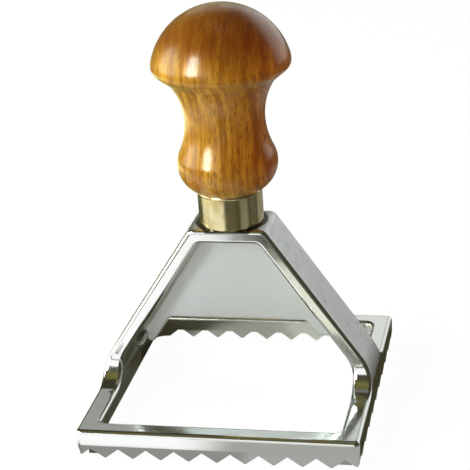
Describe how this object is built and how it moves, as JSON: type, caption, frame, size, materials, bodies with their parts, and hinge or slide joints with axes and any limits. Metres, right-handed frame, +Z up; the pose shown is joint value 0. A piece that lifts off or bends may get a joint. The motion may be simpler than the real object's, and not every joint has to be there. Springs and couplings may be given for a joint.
{
  "type": "ravioli stamp",
  "caption": "Square ravioli stamp: a toothed aluminium cutting ring cast in one with an arched yoke and web, under a brass ferrule and a turned wooden knob handle.",
  "frame": {"origin": "centre of the square that the tooth tips stand on", "axes": "+Z up through the handle, X along the front edge of the ring and in the plane of the yoke, +Y towards the back"},
  "size_m": [0.066, 0.066, 0.0985],
  "materials": {
    "cast_aluminium": "satin",
    "varnished_wood": "gloss varnish",
    "polished_brass": "polished",
    "stud_steel": "plain"
  },
  "bodies": {
    "root": {"stamp_body": "cast_aluminium", "handle": "varnished_wood", "ferrule": "polished_brass", "stud": "stud_steel"}
  },
  "joints": []
}
